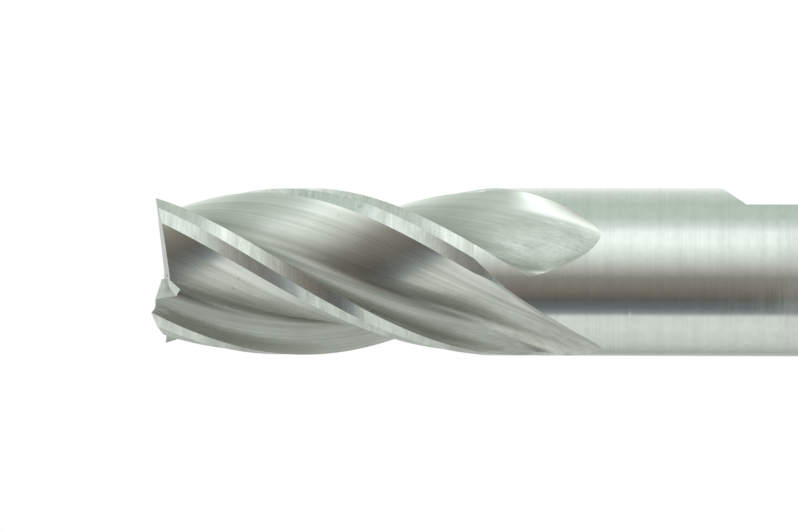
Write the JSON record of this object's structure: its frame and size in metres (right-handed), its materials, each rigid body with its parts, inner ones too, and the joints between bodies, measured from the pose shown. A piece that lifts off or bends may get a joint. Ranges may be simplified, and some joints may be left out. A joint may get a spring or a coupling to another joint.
{
  "type": "square end mill",
  "caption": "Straight-shank square end mill with right-hand helical flutes, a dished cutting end and a side flat for a set screw.",
  "frame": {"origin": "centre of the shank's end face, which the tool stands on", "axes": "+Z along the tool's axis from the shank to the cutting end, +X the way the shank's flat faces"},
  "size_m": [0.019, 0.019, 0.0984],
  "materials": {
    "ground_hss": "bright ground high-speed steel, with fine grinding lines along the flutes and across the lands",
    "ground_shank_steel": "bright cylindrically ground alloy steel, with fine lines round the shank and milling lines on the flat"
  },
  "bodies": {
    "root": {"cutting_head": "ground_hss", "shank": "ground_shank_steel"}
  },
  "joints": []
}
